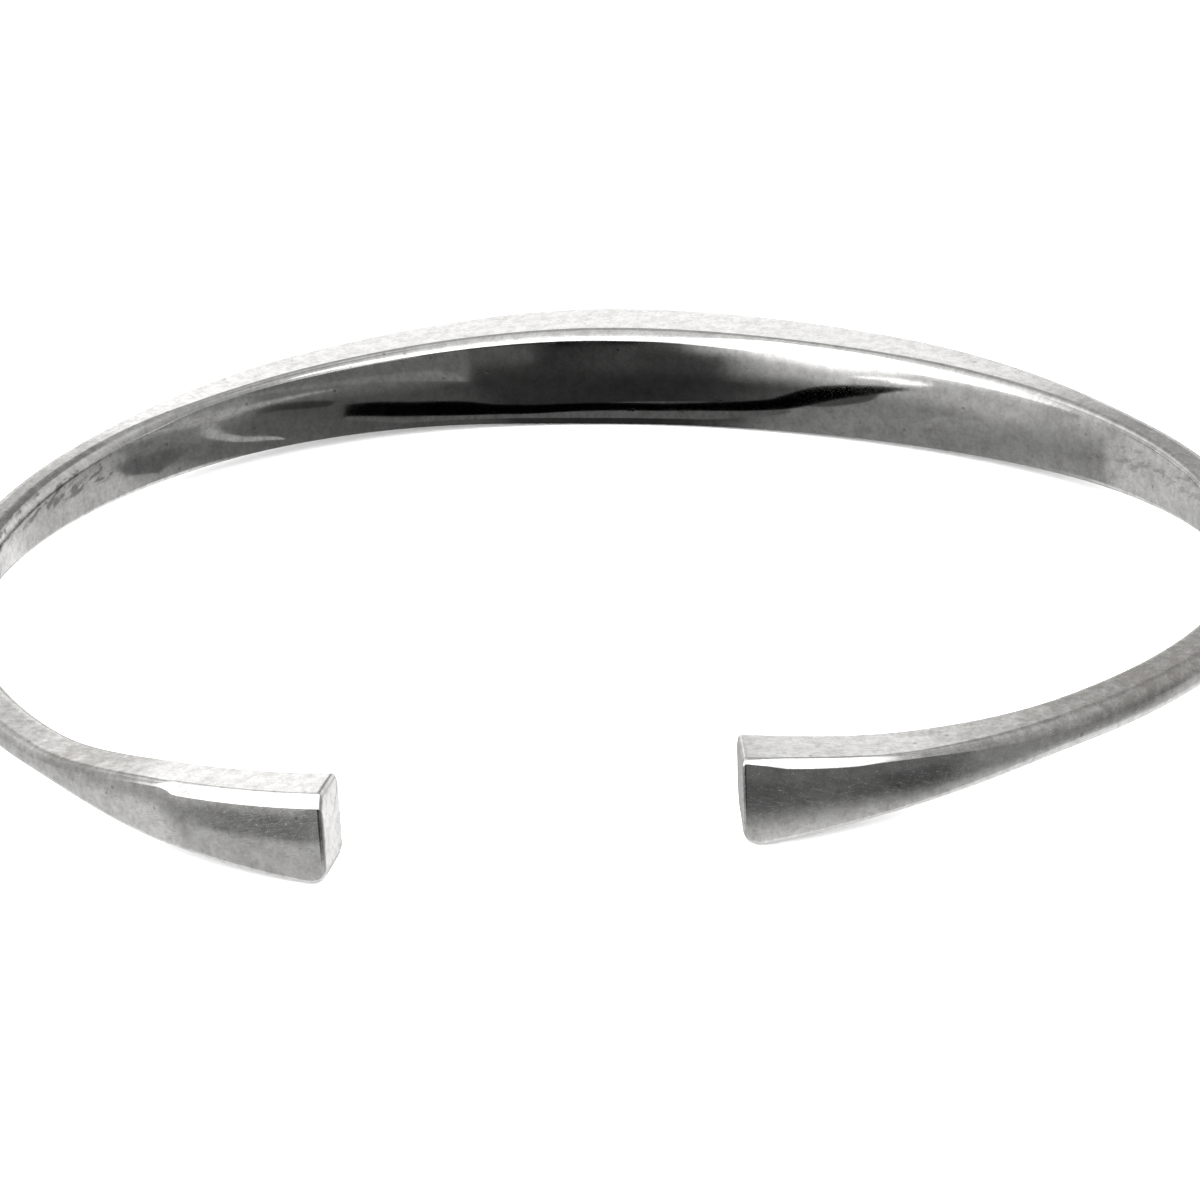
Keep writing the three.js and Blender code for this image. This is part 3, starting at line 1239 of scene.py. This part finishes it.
@dataclass(frozen=True)
class Ribbon:
    """A narrow strip of painted reflection on the table card, dark for shade and pale for light: a smooth
    line through (x, y, half width) stops, with its glow.
    """

    name: str
    stops: tuple[tuple[float, float, float], ...]
    glow: float
    pieces: int = 8

    def outline(self) -> list[tuple[float, float]]:
        """Its corners, down one side and back up the other.

        Returns:
            x and y of each.
        """
        numbers = np.arange(len(self.stops))
        walk = np.linspace(0, numbers[-1], self.pieces * numbers[-1] + 1)
        line = np.stack([Track(tuple(zip(numbers, part))).at(walk) for part in zip(*self.stops)], axis=1)
        ways = np.gradient(line[:, :2], axis=0)
        ways /= np.linalg.norm(ways, axis=1, keepdims=True)
        side = np.stack([-ways[:, 1], ways[:, 0]], axis=1) * line[:, 2:]
        return np.concatenate([line[:, :2] + side, (line[:, :2] - side)[::-1]]).tolist()


@dataclass(frozen=True)
class TableCard:
    """A dark glowing card on the table inside the ring, with ribbons on it, which only the silver sees:
    painted shade of the ring on the table, with ribbons of painted reflection.

    Lengths are in millimetres. stretch is the part of the bar that the card follows, and tuck how far it
    reaches under it. From strip_start on it is only a strip, as wide as strip says. corners closes its
    outline. glow is its brightness from left to right. It fades out over side_fade towards its left side,
    and over front_fade towards the gap, further back by left_lift on the left. The ribbons come with the
    lowest layer first.
    """

    stretch: tuple[float, float] = (-0.42, 0.66)
    far_points: int = 60
    near_points: int = 30
    tuck: float = 0.8
    strip_start: float = 0.20
    strip: Track = Track(((0.2, 3.0), (0.34, 2.6), (0.38, 0.8), (0.66, 0.6)))
    corners: tuple[tuple[float, float], ...] = ((10.0, 8.0), (-27.0, 8.0))
    glow: tuple[tuple[float, float], ...] = (
        (-27, 0.60), (-23.5, 0.30), (-21, 0.13), (-18, 0.10), (-13, 0.065), (-10, 0.06), (-8.8, 0.05),
        (-7.6, 0.025), (-3, 0.02), (0, 0.02), (2, 0.03), (4, 0.06), (6, 0.15), (9, 0.20), (16, 0.20),
        (19, 0.25), (24, 0.35), (31, 0.42),
    )
    side_fade: tuple[float, float] = (-24.5, -21.0)
    front_fade: tuple[float, float] = (12.5, 17.0)
    left_lift: float = 1.2
    left_span: tuple[float, float] = (-9.0, -13.0)
    # painted reflections: the dark ribbons stand in for shade by the bar, the pale ones for light
    ribbons: tuple[Ribbon, ...] = (
        Ribbon("pale_edge", (
            (-14.2, 18.0, 0.3), (-12.8, 20.1, 0.35), (-10.6, 21.2, 0.4), (-8.3, 21.9, 0.5), (-5.7, 22.2, 0.7),
            (-3.1, 22.0, 1.1), (-0.6, 21.8, 1.2), (1.9, 21.4, 1.2), (4.3, 21.1, 0.6), (5.9, 19.9, 0.3),
        ), 0.09),
        Ribbon("grey_tail", (
            (6.2, 18.8, 0.2), (6.6, 17.8, 0.7), (6.8, 16.6, 0.8), (6.6, 15.2, 0.4), (6.3, 14.4, 0.1),
        ), 0.055),
        Ribbon("black_ribbon", (
            (-13.25, 16.95, 1.2), (-12.8, 17.4, 1.3), (-11.9, 18.65, 1.2), (-10.1, 20.0, 1.1),
            (-8.1, 21.1, 0.7), (-5.7, 21.55, 0.6), (-0.8, 21.45, 0.55), (1.7, 21.0, 0.6), (3.9, 20.1, 0.8),
            (5.2, 18.7, 1.0),
            (5.4, 16.8, 1.1), (5.45, 14.9, 1.25), (5.65, 13.5, 0.9), (6.05, 12.7, 0.35), (6.3, 12.3, 0.05),
        ), 0.0),
        Ribbon("dark_oval", (
            (-12.1, 13.2, 0.1), (-12.3, 13.7, 0.6), (-12.6, 14.5, 0.8), (-12.8, 15.2, 0.6),
            (-12.95, 15.7, 0.1),
        ), 0.03),
        Ribbon("dark_fleck", ((-13.9, 14.5, 0.05), (-12.9, 13.95, 0.22), (-11.9, 13.35, 0.05)), 0.04),
        Ribbon("left_shade", ((-18.6, 13.6, 0.3), (-20.5, 13.3, 0.9), (-22.6, 12.9, 0.6)), 0.10),
        Ribbon("pale_ribbon", (
            (-9.5, 12.45, 0.15), (-12.5, 13.2, 0.25), (-15.0, 13.9, 0.1), (-17.6, 14.9, 0.3),
            (-18.4, 16.1, 0.38), (-18.1, 17.2, 0.25), (-18.0, 17.8, 0.05),
        ), 0.34),
        Ribbon("pale_streak", (
            (-7.7, 8.5, 0.4), (-8.0, 11.5, 0.7), (-8.15, 14.0, 0.5), (-8.0, 15.5, 0.05),
        ), 0.17),
        Ribbon("white_hook", (
            (3.2, 11.7, 0.1), (3.45, 11.3, 0.45), (4.0, 10.85, 0.42), (4.55, 11.15, 0.5), (5.0, 11.5, 0.5),
            (5.3, 11.8, 0.1),
        ), 1.5),
    )
    ribbon_height: float = 0.02
    patch: tuple[tuple[float, float], ...] = (
        (-30.0, 8.2), (-9.0, 11.25), (8.0, 13.7), (16.0, 14.8), (16.0, 7.0), (-30.0, 7.0),
    )
    patch_depth: float = 6.0
    patch_glow: tuple[tuple[float, float], ...] = ((-30, 0.50), (-9, 0.44), (-3, 0.32), (4, 0.22), (16, 0.19))

    def build(self, cuff: CuffBar) -> list[bpy.types.Object]:
        """Makes the card of painted shade, its ribbons of painted reflection, and a patch of painted
        reflection that lies deeper, under the right side.

        Args:
            cuff: the bar, already built, that the card follows.

        Returns:
            All its sheets.
        """
        far = cuff.line_beside(np.linspace(*self.stretch, self.far_points), self.tuck)
        back = np.linspace(self.stretch[1], self.strip_start, self.near_points)
        near = cuff.line_beside(back, -self.strip.at(back))
        # painted shade: a glowing sheet that stands in for the ring's shade on the table
        card = self.sheet("painted_shade_card", [*far.tolist(), *near.tolist(), *self.corners], 0.0)
        card.data.materials.append(self.paper("painted_shade_card_finish", self.glow, fades=True))
        # painted reflection: a glowing grey patch that the right side mirrors
        patch = self.sheet("painted_reflection_patch", list(self.patch), -self.patch_depth)
        patch.data.materials.append(self.paper("painted_reflection_patch_finish", self.patch_glow, fades=False))
        sheets = [card, patch]
        for layer, ribbon in enumerate(self.ribbons, start=1):
            sheet = self.sheet(ribbon.name, ribbon.outline(), self.ribbon_height * layer)
            sheet.data.materials.append(self.plain(ribbon))
            sheets.append(sheet)
        return sheets

    @staticmethod
    def sheet(name: str, outline: list[tuple[float, float]], height: float) -> bpy.types.Object:
        """A flat sheet that is seen only in the silver.

        Args:
            name: the object's name.
            outline: its corners, in millimetres.
            height: how far above the table it lies.

        Returns:
            The sheet.
        """
        mesh = bpy.data.meshes.new(name)
        corners = [(x * MM, y * MM, height * MM) for x, y in outline]
        mesh.from_pydata(corners, [], [tuple(range(len(corners)))])
        made = placed(name, mesh)
        made.visible_camera = False
        made.visible_diffuse = False
        made.visible_shadow = False
        made.visible_transmission = False
        return made

    def paper(self, name: str, glow: tuple[tuple[float, float], ...], fades: bool) -> bpy.types.Material:
        """A graded glowing finish: painted shade and painted reflection, seen only in the silver.

        Args:
            name: the material's name.
            glow: its brightness from left to right.
            fades: whether it fades out at its left and front edges.

        Returns:
            The material.
        """
        made, bench = new_finish(name)
        across, deep, _ = bench.split(bench.millimetres())
        grey = bench.ramp(across, glow[0][0], glow[-1][0], list(glow))
        shader = bench.wire("ShaderNodeEmission", sockets={"Color": grey, "Strength": 1.0})
        if fades:
            clear = bench.wire("ShaderNodeBsdfTransparent")
            depth = deep + self.left_lift * bench.smooth(across, *self.left_span)
            solid = bench.smooth(across, *self.side_fade) * bench.smooth(depth, *self.front_fade)
            shader = bench.wire("ShaderNodeMixShader", sockets={0: solid, 1: clear, 2: shader})
        bench.node("ShaderNodeOutputMaterial", sockets={"Surface": shader})
        return made

    @staticmethod
    def plain(ribbon: Ribbon) -> bpy.types.Material:
        """An even glowing finish: a painted reflection.

        Args:
            ribbon: the ribbon that it is for.

        Returns:
            The material.
        """
        made, bench = new_finish(ribbon.name)
        sockets = {"Color": (1.0, 1.0, 1.0, 1.0), "Strength": ribbon.glow}
        shader = bench.wire("ShaderNodeEmission", sockets=sockets)
        bench.node("ShaderNodeOutputMaterial", sockets={"Surface": shader})
        return made


@dataclass
class Studio:
    """A plain pale floor under soft light from all round.

    The floor's size is in metres, and its paper's tooth in millimetres.
    """

    floor_size: float = 4.0
    paper: tuple[float, float, float, float] = (0.9, 0.9, 0.9, 1.0)
    tooth_scale: float = 2.0
    tooth_depth: float = 0.02
    tooth_strength: float = 0.05
    ambient: float = 3.8
    sky: Sky = field(default_factory=Sky)

    def light(self) -> bpy.types.World:
        """Makes the soft light, and what the silver mirrors.

        Returns:
            The world.
        """
        world = bpy.data.worlds.new("studio_light")
        world.use_nodes = True
        bench = Bench(world.node_tree)
        seen = bench.wire("ShaderNodeLightPath", "Is Glossy Ray")
        strength = self.ambient + (self.sky.radiance(bench) - self.ambient) * seen
        sockets = {"Color": (1.0, 1.0, 1.0, 1.0), "Strength": strength}
        background = bench.wire("ShaderNodeBackground", sockets=sockets)
        bench.node("ShaderNodeOutputWorld", sockets={"Surface": background})
        bpy.context.scene.world = world
        bpy.context.scene.view_settings.view_transform = "Standard"
        return world

    def lay_floor(self) -> bpy.types.Object:
        """Makes the floor, which the silver doesn't mirror.

        Returns:
            The floor.
        """
        half = self.floor_size / 2
        mesh = bpy.data.meshes.new("floor")
        corners = [(-half, -half, 0), (half, -half, 0), (half, half, 0), (-half, half, 0)]
        mesh.from_pydata(corners, [], [(0, 1, 2, 3)])
        made, bench = new_finish("pale_paper")
        tooth = bench.noise(bench.millimetres(), self.tooth_scale)
        sockets = {"Strength": self.tooth_strength, "Distance": self.tooth_depth * MM, "Height": tooth}
        bump = bench.wire("ShaderNodeBump", sockets=sockets)
        shader = bench.wire("ShaderNodeBsdfDiffuse", sockets={"Color": self.paper, "Normal": bump})
        bench.node("ShaderNodeOutputMaterial", sockets={"Surface": shader})
        mesh.materials.append(made)
        floor = placed("floor", mesh)
        floor.visible_glossy = False
        return floor


@dataclass
class Viewpoint:
    """The camera: where it looks, from which way and through which lens. Lengths are in millimetres."""

    azimuth: float = 7.502
    elevation: float = 24.517
    roll: float = -2.436
    distance: float = 165.0
    target: tuple[float, float, float] = (0.359, -5.033, 2.775)
    sensor: float = 36.0
    lens: float = 105.25
    nearest: float = 10.0

    def build(self) -> bpy.types.Object:
        """Makes the camera and gives it to the scene.

        Returns:
            The camera.
        """
        turn, lift, roll = (math.radians(angle) for angle in (self.azimuth, self.elevation, self.roll))
        back = Vector((math.sin(turn) * math.cos(lift), -math.cos(turn) * math.cos(lift), math.sin(lift)))
        level = Vector((math.cos(turn), math.sin(turn), 0.0))
        upright = back.cross(level)
        right = level * math.cos(roll) + upright * math.sin(roll)
        up = upright * math.cos(roll) - level * math.sin(roll)
        data = bpy.data.cameras.new("camera")
        data.sensor_width = self.sensor
        data.lens = self.lens
        data.clip_start = self.nearest * MM
        camera = placed("camera", data)
        place = Matrix.Translation((Vector(self.target) + back * self.distance) * MM)
        camera.matrix_world = place @ Matrix((right, up, back)).transposed().to_4x4()
        bpy.context.scene.camera = camera
        return camera


def main() -> None:
    """Builds the camera, the studio and the bar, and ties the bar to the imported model."""
    logging.basicConfig(level=logging.INFO, format="%(name)s: %(message)s")
    camera = Viewpoint().build()
    LOG.info("camera at %s", tuple(round(number, 4) for number in camera.location))
    studio = Studio()
    studio.light()
    studio.lay_floor()
    cuff = CuffBar()
    bar = cuff.build(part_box("cuff_bar"))
    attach(bar, "root")
    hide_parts("cuff_bar")
    LOG.info("%s: %d faces", bar.name, len(bar.data.polygons))
    for sheet in TableCard().build(cuff):
        LOG.info("%s laid", sheet.name)


if __name__ == "__main__":
    main()
